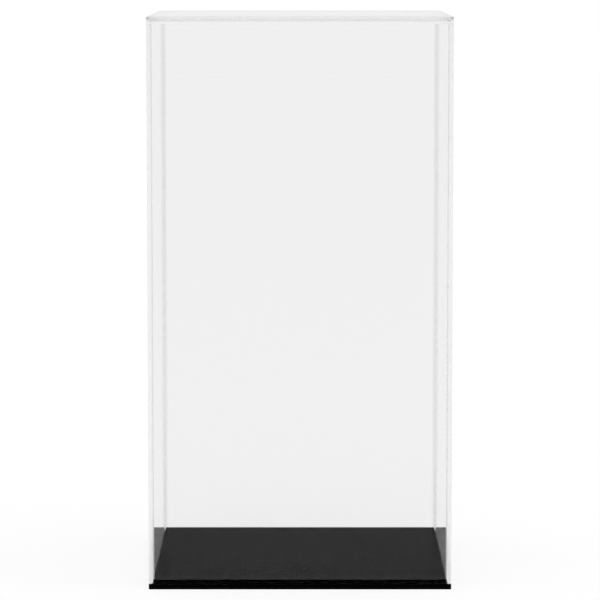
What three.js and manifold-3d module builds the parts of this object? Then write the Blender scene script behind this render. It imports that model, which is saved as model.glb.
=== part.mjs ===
// Acrylic display box: a clear five-sided cover that lowers over a raised plate on a black base.
// Units are millimetres and +Z is up. The origin is under the middle of the base, and -Y is the front.

import * as THREE from 'three';
import { RoundedBoxGeometry } from 'three/addons/geometries/RoundedBoxGeometry.js';
import * as BufferGeometryUtils from 'three/addons/utils/BufferGeometryUtils.js';
import Module from 'manifold-3d';

// Driving dimensions of the whole box
const CASE_WIDTH = 180;
const CASE_DEPTH = 180;
const CASE_HEIGHT = 340;

// Base: a plate as large as the cover, with a smaller plate bonded on it that keeps the cover in place
const BASE_THICKNESS = 3;
const PLINTH_THICKNESS = 2.5;
const PLATE_ARRIS = 0.25;

// Cover: five bonded sheets, with its outer edges and corners rounded over and polished
const WALL_THICKNESS = 2.5;
const COVER_EDGE_RADIUS = 2;

// Fits: the film of cement in each bonded joint, the cover's rest on the base, and its play on the plinth
const BOND_LINE = 0.1;
const SEAT_GAP = 0.1;
const PLINTH_CLEARANCE = 0.3;

// How far cutting blocks run past what they cut, and how many steps a quarter round has
const OVERRUN = 5;
const ARC_STEPS = 8;

// Heights and places that follow from the sizes above
const plinthBottom = BASE_THICKNESS + BOND_LINE;
const coverBottom = BASE_THICKNESS + SEAT_GAP;
const topPanelBottom = CASE_HEIGHT - WALL_THICKNESS;
const wallTop = topPanelBottom - BOND_LINE;
const outerX = CASE_WIDTH / 2;
const outerY = CASE_DEPTH / 2;
const innerX = outerX - WALL_THICKNESS;
const innerY = outerY - WALL_THICKNESS;
const sidePanelY = innerY - BOND_LINE;

const wasm = await Module();
wasm.setup();

function clearAcrylic() {
  return new THREE.MeshStandardMaterial({
    color: 0xf2f5f5,
    roughness: 0.03,
    metalness: 0,
    transparent: true,
    opacity: 0.25,
  });
}

function blackAcrylic() {
  return new THREE.MeshStandardMaterial({ color: 0x08080a, roughness: 0.08, metalness: 0 });
}

// A closed geometry becomes a solid that can be cut.
function solidFrom(geometry) {
  const bare = geometry.clone();
  bare.deleteAttribute('normal');
  bare.deleteAttribute('uv');
  const merged = BufferGeometryUtils.mergeVertices(bare);
  return new wasm.Manifold(new wasm.Mesh({
    numProp: 3,
    vertProperties: merged.attributes.position.array,
    triVerts: Uint32Array.from(merged.index.array),
  }));
}

function geometryFrom(solid) {
  const mesh = solid.getMesh();
  const geometry = new THREE.BufferGeometry();
  geometry.setAttribute('position', new THREE.BufferAttribute(mesh.vertProperties, 3));
  geometry.setIndex(new THREE.BufferAttribute(mesh.triVerts, 1));
  const faceted = geometry.toNonIndexed();
  faceted.computeVertexNormals();
  return faceted;
}

// The outer form of the whole cover. It runs on below the rim, so that only the top and the four
// upright edges are rounded where the sheets are cut from it.
function coverForm() {
  const below = COVER_EDGE_RADIUS + OVERRUN;
  const height = CASE_HEIGHT - coverBottom + below;
  const form = new RoundedBoxGeometry(CASE_WIDTH, CASE_DEPTH, height, ARC_STEPS, COVER_EDGE_RADIUS);
  form.translate(0, 0, CASE_HEIGHT - height / 2);
  return solidFrom(form);
}

// One sheet of the cover: the stretch of the outer form that lies between two corners of a block.
// Its geometry is centred on itself, and its mesh carries the place.
function coverPanel(name, form, low, high) {
  const size = high.clone().sub(low);
  const centre = low.clone().add(high).divideScalar(2);
  const block = new THREE.BoxGeometry(size.x, size.y, size.z);
  block.translate(centre.x, centre.y, centre.z);
  const geometry = geometryFrom(form.intersect(solidFrom(block)));
  geometry.translate(-centre.x, -centre.y, -centre.z);
  const panel = new THREE.Mesh(geometry, clearAcrylic());
  panel.name = name;
  panel.position.copy(centre);
  return panel;
}

// Front and back sheets span the full width, the side sheets stand between them, and the top sheet
// lies on all four. Every block runs past the outer form on its outer sides.
function cover() {
  const form = coverForm();
  const pastX = outerX + OVERRUN;
  const pastY = outerY + OVERRUN;
  const pastTop = CASE_HEIGHT + OVERRUN;
  const group = new THREE.Group();
  group.add(
    coverPanel('front_panel', form,
      new THREE.Vector3(-pastX, -pastY, coverBottom), new THREE.Vector3(pastX, -innerY, wallTop)),
    coverPanel('back_panel', form,
      new THREE.Vector3(-pastX, innerY, coverBottom), new THREE.Vector3(pastX, pastY, wallTop)),
    coverPanel('left_panel', form,
      new THREE.Vector3(-pastX, -sidePanelY, coverBottom), new THREE.Vector3(-innerX, sidePanelY, wallTop)),
    coverPanel('right_panel', form,
      new THREE.Vector3(innerX, -sidePanelY, coverBottom), new THREE.Vector3(pastX, sidePanelY, wallTop)),
    coverPanel('top_panel', form,
      new THREE.Vector3(-pastX, -pastY, topPanelBottom), new THREE.Vector3(pastX, pastY, pastTop)),
  );
  return group;
}

// A flat sheet with a fine arris all round, lying from z = 0 up.
function plate(name, width, depth, thickness) {
  const x = width / 2 - PLATE_ARRIS;
  const y = depth / 2 - PLATE_ARRIS;
  const outline = new THREE.Shape([
    new THREE.Vector2(-x, -y),
    new THREE.Vector2(x, -y),
    new THREE.Vector2(x, y),
    new THREE.Vector2(-x, y),
  ]);
  const geometry = new THREE.ExtrudeGeometry(outline, {
    depth: thickness - 2 * PLATE_ARRIS,
    bevelEnabled: true,
    bevelThickness: PLATE_ARRIS,
    bevelSize: PLATE_ARRIS,
    bevelSegments: 1,
  });
  geometry.translate(0, 0, PLATE_ARRIS);
  const sheet = new THREE.Mesh(geometry, blackAcrylic());
  sheet.name = name;
  return sheet;
}

function base() {
  const basePlate = plate('base_plate', CASE_WIDTH, CASE_DEPTH, BASE_THICKNESS);
  const plinthWidth = 2 * (innerX - PLINTH_CLEARANCE);
  const plinthDepth = 2 * (innerY - PLINTH_CLEARANCE);
  const plinth = plate('raised_plinth', plinthWidth, plinthDepth, PLINTH_THICKNESS);
  plinth.position.z = plinthBottom;
  const group = new THREE.Group();
  group.add(basePlate, plinth);
  return group;
}

const displayBox = new THREE.Group();
displayBox.add(base(), cover());

export default displayBox;
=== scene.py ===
# Acrylic display box: a clear five-sided cover that lowers over a raised plate on a black base.
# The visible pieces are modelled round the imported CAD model, in its frame: metres, +Z up, -Y the front.
import math

import bmesh
import bpy
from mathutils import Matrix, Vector


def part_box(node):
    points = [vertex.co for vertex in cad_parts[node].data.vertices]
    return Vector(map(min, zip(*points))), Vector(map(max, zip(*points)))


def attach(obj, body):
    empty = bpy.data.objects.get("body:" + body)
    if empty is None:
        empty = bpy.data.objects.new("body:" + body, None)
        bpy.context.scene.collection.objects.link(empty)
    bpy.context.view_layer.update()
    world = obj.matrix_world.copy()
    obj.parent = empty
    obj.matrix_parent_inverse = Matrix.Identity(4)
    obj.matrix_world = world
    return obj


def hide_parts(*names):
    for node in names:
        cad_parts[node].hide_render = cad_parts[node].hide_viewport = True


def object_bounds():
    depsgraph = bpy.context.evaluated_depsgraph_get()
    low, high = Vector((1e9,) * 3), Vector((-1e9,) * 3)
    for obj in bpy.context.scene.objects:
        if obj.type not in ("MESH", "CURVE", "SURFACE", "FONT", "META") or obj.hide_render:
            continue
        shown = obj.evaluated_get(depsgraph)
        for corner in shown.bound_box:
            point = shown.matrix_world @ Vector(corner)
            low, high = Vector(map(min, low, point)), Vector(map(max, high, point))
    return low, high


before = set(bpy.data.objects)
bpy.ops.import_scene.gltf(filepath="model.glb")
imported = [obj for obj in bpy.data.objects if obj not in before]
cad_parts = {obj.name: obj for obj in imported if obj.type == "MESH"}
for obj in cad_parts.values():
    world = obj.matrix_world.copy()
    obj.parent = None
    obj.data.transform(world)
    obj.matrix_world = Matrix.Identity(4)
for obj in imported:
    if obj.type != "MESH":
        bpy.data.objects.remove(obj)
cad_low, cad_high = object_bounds()


# Base plate
# A square of 3 mm black cast acrylic, sawn to size, with polished edges and a fine arris on every corner.
# It lies flat on the table, and the cover's rim stands on its border.
plate_arris = 0.00025
plate_arris_steps = 3
flat_threshold = 0.999
round_profile = 0.5

# Black acrylic: its colour, the dullness under its gloss, the index of the gloss, and what lies on it
black_colour = (0.0012, 0.0012, 0.0013, 1)
black_roughness = 0.5
black_gloss_index = 1.5
lint_density = 1400
lint_detail = 4
lint_start = 0.62
lint_full = 0.80
black_wave_density = 14
black_wave_depth = 0.00001
black_mark_density = 2600
black_mark_depth = 0.0000004
black_mark_turn = 0.4

# Wiping marks: how they are turned about the three axes, how long they are drawn, and where they show
mark_turn_shares = (1, 0.7, 1.3)
mark_length_density = 4
mark_detail = 2
mark_start = 0.70
mark_full = 0.74
wave_detail = 1


def cut_block(name, low, high):
    """A block between two corners, with its place in its mesh."""
    bpy.ops.object.select_all(action="DESELECT")
    bpy.ops.mesh.primitive_cube_add(size=1, location=(low + high) / 2, scale=high - low)
    block = bpy.context.object
    block.name = name
    block.data.name = name
    bpy.ops.object.transform_apply(location=True, rotation=True, scale=True)
    return block


def round_edges(block, radius, steps, wanted, profile=round_profile):
    """Rounds the edges whose two end points wanted() accepts. A profile below one half is hollow."""
    bpy.ops.object.select_all(action="DESELECT")
    bpy.context.view_layer.objects.active = block
    block.select_set(True)
    bpy.ops.object.mode_set(mode="EDIT")
    bpy.ops.mesh.select_mode(type="EDGE")
    bpy.ops.mesh.select_all(action="DESELECT")
    form = bmesh.from_edit_mesh(block.data)
    for edge in form.edges:
        edge.select_set(wanted(edge.verts[0].co, edge.verts[1].co))
    bmesh.update_edit_mesh(block.data)
    bpy.ops.mesh.bevel(offset=radius, segments=steps, profile=profile, affect="EDGES")
    bpy.ops.object.mode_set(mode="OBJECT")


def every_edge(start, end):
    return True


def polish_edges(sheet, face_finish, edge_finish, face_axis):
    """Gives the two faces of a sheet one finish, and its narrow edges and arrises the other."""
    sheet.data.materials.append(face_finish)
    sheet.data.materials.append(edge_finish)
    for polygon in sheet.data.polygons:
        on_face = abs(polygon.normal[face_axis]) > flat_threshold
        flat = max(abs(part) for part in polygon.normal) > flat_threshold
        polygon.material_index = 0 if on_face else 1
        polygon.use_smooth = not flat


def new_finish(name):
    """An empty material with its nodes, its link maker and its Principled shader."""
    finish = bpy.data.materials.new(name)
    finish.use_nodes = True
    nodes = finish.node_tree.nodes
    return finish, nodes, finish.node_tree.links.new, nodes["Principled BSDF"]


def hairlines(nodes, link, turn, density):
    """Faint straight wiping marks: thin bands of a noise that is drawn out along one direction."""
    place = nodes.new("ShaderNodeTexCoord")
    stretch = nodes.new("ShaderNodeMapping")
    stretch.inputs["Rotation"].default_value = [turn * share for share in mark_turn_shares]
    stretch.inputs["Scale"].default_value = (mark_length_density, density, density)
    noise = nodes.new("ShaderNodeTexNoise")
    noise.inputs["Scale"].default_value = 1
    noise.inputs["Detail"].default_value = mark_detail
    band = nodes.new("ShaderNodeValToRGB")
    band.color_ramp.elements[0].position = mark_start
    band.color_ramp.elements[1].position = mark_full
    link(place.outputs["Object"], stretch.inputs["Vector"])
    link(stretch.outputs["Vector"], noise.inputs["Vector"])
    link(noise.outputs["Fac"], band.inputs["Fac"])
    return band.outputs["Color"]


def waves(nodes, link, density, detail):
    """Soft uneven height, such as the slight waviness of a cast sheet."""
    place = nodes.new("ShaderNodeTexCoord")
    noise = nodes.new("ShaderNodeTexNoise")
    noise.inputs["Scale"].default_value = density
    noise.inputs["Detail"].default_value = detail
    link(place.outputs["Object"], noise.inputs["Vector"])
    return noise.outputs["Fac"]


def bump(nodes, link, height, depth, under=None):
    """Turns a height from 0 to 1 into a bump of that depth in metres, on top of another bump."""
    relief = nodes.new("ShaderNodeBump")
    relief.inputs["Distance"].default_value = depth
    link(height, relief.inputs["Height"])
    if under:
        link(under, relief.inputs["Normal"])
    return relief.outputs["Normal"]


def black_acrylic(name, gloss, gloss_roughness, lint_level):
    """Deep black acrylic under a thin gloss, with lint that hardly shows and faint wiping marks."""
    finish, nodes, link, shader = new_finish(name)
    shader.inputs["Specular IOR Level"].default_value = 0
    shader.inputs["Roughness"].default_value = black_roughness
    shader.inputs["Coat Weight"].default_value = gloss
    shader.inputs["Coat Roughness"].default_value = gloss_roughness
    shader.inputs["Coat IOR"].default_value = black_gloss_index
    lint = nodes.new("ShaderNodeValToRGB")
    lint.color_ramp.elements[0].position = lint_start
    lint.color_ramp.elements[0].color = black_colour
    lint.color_ramp.elements[1].position = lint_full
    lint.color_ramp.elements[1].color = (lint_level, lint_level, lint_level, 1)
    link(waves(nodes, link, lint_density, lint_detail), lint.inputs["Fac"])
    link(lint.outputs["Color"], shader.inputs["Base Color"])
    swell = bump(nodes, link, waves(nodes, link, black_wave_density, wave_detail), black_wave_depth)
    lines = hairlines(nodes, link, black_mark_turn, black_mark_density)
    marks = bump(nodes, link, lines, black_mark_depth, swell)
    link(marks, shader.inputs["Coat Normal"])
    link(marks, shader.inputs["Normal"])
    return finish


black_face = black_acrylic("black_acrylic_face", gloss=0.09, gloss_roughness=0.02, lint_level=0.006)
black_edge = black_acrylic("black_acrylic_edge", gloss=0.005, gloss_roughness=0.12, lint_level=0.002)


def black_plate(name, node):
    """A black sheet that lies flat in the place of a CAD node."""
    plate = cut_block(name, *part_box(node))
    round_edges(plate, plate_arris, plate_arris_steps, every_edge)
    polish_edges(plate, black_face, black_edge, face_axis=2)
    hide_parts(node)
    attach(plate, "base")


black_plate("base_sheet", "base_plate")


# Raised plinth
# A slightly smaller square of 2.5 mm black acrylic, finished like the base plate and bonded flat on it.
# It keeps the cover in place, and the displayed object stands on it.
black_plate("plinth_sheet", "raised_plinth")


# Front and back sheets of the cover
# Clear cast acrylic, 2.5 mm thick and as wide as the case, cemented over the edges of the side sheets.
# Their outer upright edges are rounded over and buffed, and their rims stand loose on the base plate.
cover_radius = 0.002
cover_steps = 12
rim_arris = 0.00015
rim_arris_steps = 2
rim_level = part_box("front_panel")[0].z
edge_tolerance = 0.00001

# Clear acrylic: its index and tint, its waviness, its wiping marks, and how little it mirrors face on
clear_index = 1.49
clear_tint = 0.933
clear_wave_density = 12
clear_wave_depth = 0.000004
clear_mark_density = 2200
clear_mark_depth = 0.0000002
clear_mark_turn = 0.9
face_on_mirror = 0.02


def clear_acrylic(name, tint, index, roughness, mark_roughness, relief=False):
    """Clear acrylic: almost no mirror image face on, full mirror at a glancing view, and a light tint."""
    finish, nodes, link, shader = new_finish(name)
    shader.inputs["Base Color"].default_value = (tint, tint, tint, 1)
    shader.inputs["Transmission Weight"].default_value = 1
    shader.inputs["IOR"].default_value = index
    shader.inputs["Specular Tint"].default_value = (face_on_mirror, face_on_mirror, face_on_mirror, 1)
    lines = hairlines(nodes, link, clear_mark_turn, clear_mark_density)
    dulled = nodes.new("ShaderNodeMapRange")
    dulled.inputs["To Min"].default_value = roughness
    dulled.inputs["To Max"].default_value = roughness + mark_roughness
    link(lines, dulled.inputs["Value"])
    link(dulled.outputs["Result"], shader.inputs["Roughness"])
    if relief:
        swell = bump(nodes, link, waves(nodes, link, clear_wave_density, wave_detail), clear_wave_depth)
        link(bump(nodes, link, lines, clear_mark_depth, swell), shader.inputs["Normal"])
    return finish


# A face is clear and very slightly wavy. An edge is buffed to a satin gloss. Its index is not acrylic's:
# it is set lower, which keeps the light that is mirrored in the edge from breaking into a ragged line.
clear_face = clear_acrylic("clear_acrylic_face", clear_tint, clear_index,
                           roughness=0, mark_roughness=0.06, relief=True)
clear_edge = clear_acrylic("clear_acrylic_edge", tint=1, index=1.3,
                           roughness=0.28, mark_roughness=0.05)


def at_corner(point):
    """Whether a point lies on one of the case's four outer upright edges."""
    return (abs(abs(point.x) - cad_high.x) < edge_tolerance
            and abs(abs(point.y) - cad_high.y) < edge_tolerance)


def outer_upright(start, end):
    return at_corner(start) and at_corner(end)


def rim(start, end):
    return all(abs(point.z - rim_level) < edge_tolerance for point in (start, end))


def finish_wall(wall, node, face_axis):
    """Breaks a wall's rim, polishes it, and puts it in the place of a CAD node."""
    round_edges(wall, rim_arris, rim_arris_steps, rim)
    polish_edges(wall, clear_face, clear_edge, face_axis)
    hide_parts(node)
    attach(wall, "cover")


for wall_name, wall_node in (("front_sheet", "front_panel"), ("back_sheet", "back_panel")):
    wall = cut_block(wall_name, *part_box(wall_node))
    round_edges(wall, cover_radius, cover_steps, outer_upright)
    finish_wall(wall, wall_node, face_axis=1)


# Side sheets of the cover
# Plain rectangles of the same sheet, which stand between the front and back ones.
# Their upright edges are butt jointed with solvent cement that runs in as a film.
for wall_name, wall_node in (("left_sheet", "left_panel"), ("right_sheet", "right_panel")):
    wall = cut_block(wall_name, *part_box(wall_node))
    finish_wall(wall, wall_node, face_axis=0)


# Top sheet of the cover
# A square of the same sheet that lies on all four walls, with its corners and top edges rounded over.
# It closes the cover and holds the walls square.
top_sheet = cut_block("top_sheet", *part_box("top_panel"))


def at_top(point):
    return abs(point.z - cad_high.z) < edge_tolerance


def top_or_upright(start, end):
    return outer_upright(start, end) or (at_top(start) and at_top(end))


round_edges(top_sheet, cover_radius, cover_steps, top_or_upright)
polish_edges(top_sheet, clear_face, clear_edge, face_axis=2)
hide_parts("top_panel")
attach(top_sheet, "cover")


# Cement beads of the cover
# A thin bead of clear cement that has run out of each joint and set in the inside corner. Four stand in
# the upright corners, just clear of the plinth, and four run round under the top sheet. The back sheet
# is cemented on last, lying flat, so more cement has run into its two corners. The legs are a guess.
top_bead_leg = 0.0011
front_bead_leg = 0.0007
back_bead_leg = 0.0017
bead_hollow_share = 0.85
bead_hollow_profile = 0.12
bead_steps = 6
bead_gap = 0.00003
plinth_clearance = 0.0003
bead_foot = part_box("raised_plinth")[1].z + plinth_clearance
bead_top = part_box("top_panel")[0].z - bead_gap
far_x = abs(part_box("left_panel")[1].x) - bead_gap
far_y = abs(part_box("front_panel")[1].y) - bead_gap
set_cement = clear_acrylic("clear_cement", tint=0.935, index=clear_index,
                           roughness=0.25, mark_roughness=0.07)


def cement_bead(name, leg, start, end, inward):
    """A bead with a hollow front, from start to end. inward points from its corner into the box."""
    low = Vector(map(min, start, end))
    high = Vector(map(max, start, end))
    middle = (low + high) / 2
    bead = cut_block(name, low, high)

    def is_free_edge(first, second):
        offset = (first + second) / 2 - middle
        return all(abs(part) < edge_tolerance if not wanted else part * wanted > 0
                   for part, wanted in zip(offset, inward))

    round_edges(bead, leg * bead_hollow_share, bead_steps, is_free_edge, bead_hollow_profile)
    bead.data.materials.append(set_cement)
    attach(bead, "cover")


for side, side_name in ((-1, "left"), (1, "right")):
    for face, face_name, leg in ((-1, "front", front_bead_leg), (1, "back", back_bead_leg)):
        cement_bead(f"{face_name}_{side_name}_cement_bead", leg,
                    Vector((side * far_x, face * far_y, bead_foot)),
                    Vector((side * (far_x - leg), face * (far_y - leg), bead_top)),
                    Vector((-side, -face, 0)))
    cement_bead(f"top_{side_name}_cement_bead", top_bead_leg,
                Vector((side * far_x, front_bead_leg - far_y, bead_top)),
                Vector((side * (far_x - top_bead_leg), far_y - back_bead_leg, bead_top - top_bead_leg)),
                Vector((-side, 0, -1)))
for face, face_name, leg in ((-1, "front", front_bead_leg), (1, "back", back_bead_leg)):
    reach = far_x - max(leg, top_bead_leg)
    cement_bead(f"top_{face_name}_cement_bead", top_bead_leg,
                Vector((-reach, face * far_y, bead_top)),
                Vector((reach, face * (far_y - top_bead_leg), bead_top - top_bead_leg)),
                Vector((0, -face, -1)))


# Studio
# A plain white floor and surroundings, even soft light, and one soft lamp from the upper right.
# The floor and the surroundings read as white wherever the camera sees them, also through the acrylic,
# but a mirror image shows them at their own level, a little below white.
floor_half_width = 8
floor_colour = 0.2
studio_level = 0.87
lamp_width = 1.0
lamp_height = 1.4
lamp_power = 4
lamp_place = Vector((1.6, -0.3, 1.2))
lamp_target = Vector((0, 0, 0.17))


def level_by_ray(nodes, link):
    """The studio's level, but white where the camera looks straight at it or through acrylic."""
    path = nodes.new("ShaderNodeLightPath")
    seen = nodes.new("ShaderNodeMath")
    seen.operation = "MAXIMUM"
    link(path.outputs["Is Camera Ray"], seen.inputs[0])
    link(path.outputs["Is Transmission Ray"], seen.inputs[1])
    level = nodes.new("ShaderNodeMapRange")
    level.inputs["To Min"].default_value = studio_level
    level.inputs["To Max"].default_value = 1
    link(seen.outputs[0], level.inputs["Value"])
    return level.outputs["Result"]


bpy.ops.object.select_all(action="DESELECT")
bpy.ops.mesh.primitive_plane_add(size=2 * floor_half_width)
floor = bpy.context.object
floor.name = "floor"
floor_finish, floor_nodes, floor_link, floor_shader = new_finish("white_floor")
floor_shader.inputs["Base Color"].default_value = (floor_colour, floor_colour, floor_colour, 1)
floor_shader.inputs["Specular IOR Level"].default_value = 0
floor_shader.inputs["Emission Color"].default_value = (1, 1, 1, 1)
floor_own_light = floor_nodes.new("ShaderNodeMath")
floor_own_light.operation = "SUBTRACT"
floor_own_light.inputs[1].default_value = floor_colour * studio_level
floor_link(level_by_ray(floor_nodes, floor_link), floor_own_light.inputs[0])
floor_link(floor_own_light.outputs[0], floor_shader.inputs["Emission Strength"])
floor.data.materials.append(floor_finish)

surroundings = bpy.data.worlds.new("studio")
bpy.context.scene.world = surroundings
surroundings.use_nodes = True
sky_nodes = surroundings.node_tree.nodes
sky_link = surroundings.node_tree.links.new
sky_nodes["Background"].inputs["Color"].default_value = (1, 1, 1, 1)
sky_link(level_by_ray(sky_nodes, sky_link), sky_nodes["Background"].inputs["Strength"])

lamp_data = bpy.data.lights.new("soft_lamp", "AREA")
lamp_data.shape = "RECTANGLE"
lamp_data.size = lamp_width
lamp_data.size_y = lamp_height
lamp_data.energy = lamp_power
lamp = bpy.data.objects.new("soft_lamp", lamp_data)
bpy.context.scene.collection.objects.link(lamp)
lamp.location = lamp_place
lamp.rotation_euler = (lamp_target - lamp_place).to_track_quat("-Z", "Y").to_euler()


# Camera
# A little higher than the case's top, almost two metres in front of it, with a long lens.
# It looks down a little, so that the top sheet and the plinth both show as narrow bands.
camera_distance = 1.875
camera_height = 0.3779
camera_pitch = math.radians(6.227)
camera_sensor = 36
camera_lens = 192.05
camera_far_clip = 100
camera_data = bpy.data.cameras.new("camera")
camera_data.sensor_width = camera_sensor
camera_data.lens = camera_lens
camera_data.clip_end = camera_far_clip
camera = bpy.data.objects.new("camera", camera_data)
bpy.context.scene.collection.objects.link(camera)
camera.location = (0, cad_low.y - camera_distance, camera_height)
camera.rotation_euler = (math.pi / 2 - camera_pitch, 0, 0)
bpy.context.scene.camera = camera

# Light that enters a sheet's edge is mirrored many times in it before it leaves at another edge.
sheet_bounces = 120
light_paths = bpy.context.scene.cycles
light_paths.max_bounces = sheet_bounces
light_paths.transmission_bounces = sheet_bounces
light_paths.glossy_bounces = sheet_bounces
bpy.context.scene.view_settings.view_transform = "Standard"
